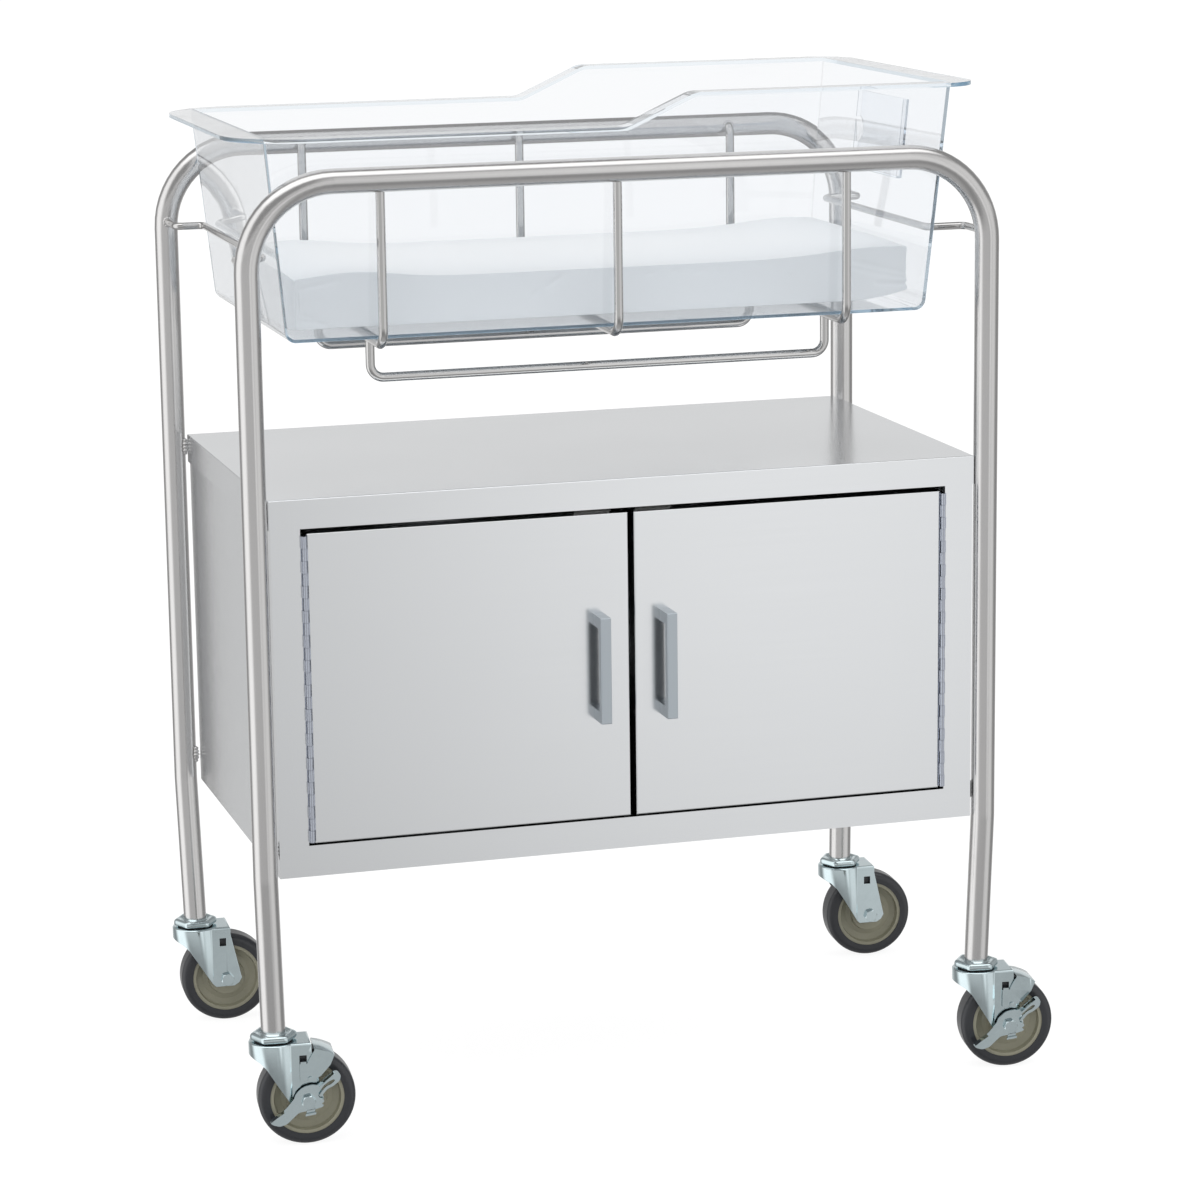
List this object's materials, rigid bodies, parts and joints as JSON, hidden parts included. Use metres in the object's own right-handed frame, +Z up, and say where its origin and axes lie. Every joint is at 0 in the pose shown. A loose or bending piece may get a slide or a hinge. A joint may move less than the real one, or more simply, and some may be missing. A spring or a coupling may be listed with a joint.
{
  "type": "hospital bassinet",
  "caption": "Stainless bassinet cart on swivel casters: tube frame, cabinet with hinged doors below, and a clear lift-out tub with a mattress above.",
  "frame": {"origin": "bottom centre of the whole object's box, on the floor", "axes": "+X along the front towards the tub's high end, +Y towards the back, +Z up"},
  "size_m": [0.8888, 0.501, 1.0698],
  "materials": {
    "stainless_tube": "satin polished along the tube",
    "stainless_sheet": "fine brushed",
    "stainless_hinge": "plain",
    "handle_aluminium": "satin anodised",
    "zinc_plate": "bright zinc plate",
    "catch_plastic": "plain",
    "seal_rubber": "matt",
    "tread": "smooth",
    "wheel_core": "moulded",
    "clear_plastic": "clear",
    "mattress_cover": "smooth wipe-clean cover"
  },
  "bodies": {
    "frame": {"front_frame_tube": "stainless_tube", "rear_frame_tube": "stainless_tube", "tub_hanger_left": "stainless_tube", "tub_hanger_middle": "stainless_tube", "tub_hanger_right": "stainless_tube", "drop_rod_front": "stainless_tube", "drop_rod_rear": "stainless_tube", "end_rod_left": "stainless_tube", "end_rod_right": "stainless_tube", "cabinet_top": "stainless_sheet", "cabinet_sides_back": "stainless_sheet", "cabinet_floor": "stainless_sheet", "cabinet_bottom_rail": "stainless_sheet", "cabinet_shelf": "stainless_sheet", "shelf_brackets": "stainless_sheet", "magnetic_catches": "catch_plastic", "cabinet_stile_left": "stainless_sheet", "cabinet_stile_right": "stainless_sheet", "hinge_leaf_fixed_left": "stainless_hinge", "hinge_leaf_fixed_right": "stainless_hinge", "hinge_pin_left": "stainless_hinge", "hinge_pin_right": "stainless_hinge", "caster_stems": "zinc_plate", "stem_nuts": "zinc_plate", "stem_races": "seal_rubber"},
    "door_left": {"hinge_leaf_door_left": "stainless_hinge", "door_pan_left": "stainless_sheet", "door_liner_left": "stainless_sheet", "door_handle_left": "handle_aluminium", "door_strike_left": "stainless_hinge"},
    "door_right": {"hinge_leaf_door_right": "stainless_hinge", "door_pan_right": "stainless_sheet", "door_liner_right": "stainless_sheet", "door_handle_right": "handle_aluminium", "door_strike_right": "stainless_hinge"},
    "swivel_front_left": {"fork_front_left": "zinc_plate", "axle_front_left": "zinc_plate"},
    "wheel_front_left": {"wheel_core_front_left": "wheel_core", "tyre_front_left": "tread"},
    "lever_front_left": {"brake_lever_front_left": "zinc_plate"},
    "shoe_front_left": {"brake_shoe_front_left": "zinc_plate"},
    "swivel_front_right": {"fork_front_right": "zinc_plate", "axle_front_right": "zinc_plate"},
    "wheel_front_right": {"wheel_core_front_right": "wheel_core", "tyre_front_right": "tread"},
    "lever_front_right": {"brake_lever_front_right": "zinc_plate"},
    "shoe_front_right": {"brake_shoe_front_right": "zinc_plate"},
    "swivel_rear_left": {"fork_rear_left": "zinc_plate", "axle_rear_left": "zinc_plate"},
    "wheel_rear_left": {"wheel_core_rear_left": "wheel_core", "tyre_rear_left": "tread"},
    "swivel_rear_right": {"fork_rear_right": "zinc_plate", "axle_rear_right": "zinc_plate"},
    "wheel_rear_right": {"wheel_core_rear_right": "wheel_core", "tyre_rear_right": "tread"},
    "tub": {"tub": "clear_plastic", "card_holder": "clear_plastic"},
    "mattress": {"mattress": "mattress_cover"}
  },
  "joints": [
    {"name": "door_left_hinge", "type": "hinge", "parent": "frame", "child": "door_left", "pos_m": [-0.37312, -0.22004, 0.48085], "axis": [0, 0, -1], "range_deg": [0, 170]},
    {"name": "door_right_hinge", "type": "hinge", "parent": "frame", "child": "door_right", "pos_m": [0.31588, -0.22004, 0.48085], "axis": [0, 0, 1], "range_deg": [0, 170]},
    {"name": "swivel_front_left_turn", "type": "hinge", "parent": "frame", "child": "swivel_front_left", "pos_m": [-0.41839, -0.20948, 0.1093], "axis": [0, 0, 1], "continuous": true},
    {"name": "wheel_front_left_spin", "type": "hinge", "parent": "swivel_front_left", "child": "wheel_front_left", "pos_m": [-0.38656, -0.21282, 0.0508], "axis": [0.1045, 0.9945, 0], "continuous": true},
    {"name": "lever_front_left_press", "type": "hinge", "parent": "swivel_front_left", "child": "lever_front_left", "pos_m": [-0.38656, -0.21282, 0.0508], "axis": [-0.1045, -0.9945, 0], "range_deg": [0, 18]},
    {"name": "shoe_front_left_tilt", "type": "hinge", "parent": "swivel_front_left", "child": "shoe_front_left", "pos_m": [-0.39054, -0.21241, 0.0943], "axis": [0.1045, 0.9945, 0], "range_deg": [0, 3.5]},
    {"name": "swivel_front_right_turn", "type": "hinge", "parent": "frame", "child": "swivel_front_right", "pos_m": [0.36114, -0.20948, 0.1093], "axis": [0, 0, 1], "continuous": true},
    {"name": "wheel_front_right_spin", "type": "hinge", "parent": "swivel_front_right", "child": "wheel_front_right", "pos_m": [0.39283, -0.21393, 0.0508], "axis": [0.1392, 0.9903, 0], "continuous": true},
    {"name": "lever_front_right_press", "type": "hinge", "parent": "swivel_front_right", "child": "lever_front_right", "pos_m": [0.39283, -0.21393, 0.0508], "axis": [-0.1392, -0.9903, 0], "range_deg": [0, 18]},
    {"name": "shoe_front_right_tilt", "type": "hinge", "parent": "swivel_front_right", "child": "shoe_front_right", "pos_m": [0.38887, -0.21338, 0.0943], "axis": [0.1392, 0.9903, 0], "range_deg": [0, 3.5]},
    {"name": "swivel_rear_left_turn", "type": "hinge", "parent": "frame", "child": "swivel_rear_left", "pos_m": [-0.41839, 0.2242, 0.1093], "axis": [0, 0, 1], "continuous": true},
    {"name": "wheel_rear_left_spin", "type": "hinge", "parent": "swivel_rear_left", "child": "wheel_rear_left", "pos_m": [-0.38643, 0.22253, 0.0508], "axis": [0.0523, 0.9986, 0], "continuous": true},
    {"name": "swivel_rear_right_turn", "type": "hinge", "parent": "frame", "child": "swivel_rear_right", "pos_m": [0.36114, 0.2242, 0.1093], "axis": [0, 0, 1], "continuous": true},
    {"name": "wheel_rear_right_spin", "type": "hinge", "parent": "swivel_rear_right", "child": "wheel_rear_right", "pos_m": [0.39306, 0.22197, 0.0508], "axis": [0.0698, 0.9976, 0], "continuous": true},
    {"name": "tub_lift", "type": "slide", "parent": "frame", "child": "tub", "axis": [0, 0, 1], "range_m": [0, 0.35]},
    {"name": "mattress_lift", "type": "slide", "parent": "tub", "child": "mattress", "axis": [0, 0, 1], "range_m": [0, 0.3]}
  ],
  "couplings": [
    {"joint": "shoe_front_left_tilt", "follows": "lever_front_left_press", "ratio": 0.194},
    {"joint": "shoe_front_right_tilt", "follows": "lever_front_right_press", "ratio": 0.194}
  ]
}
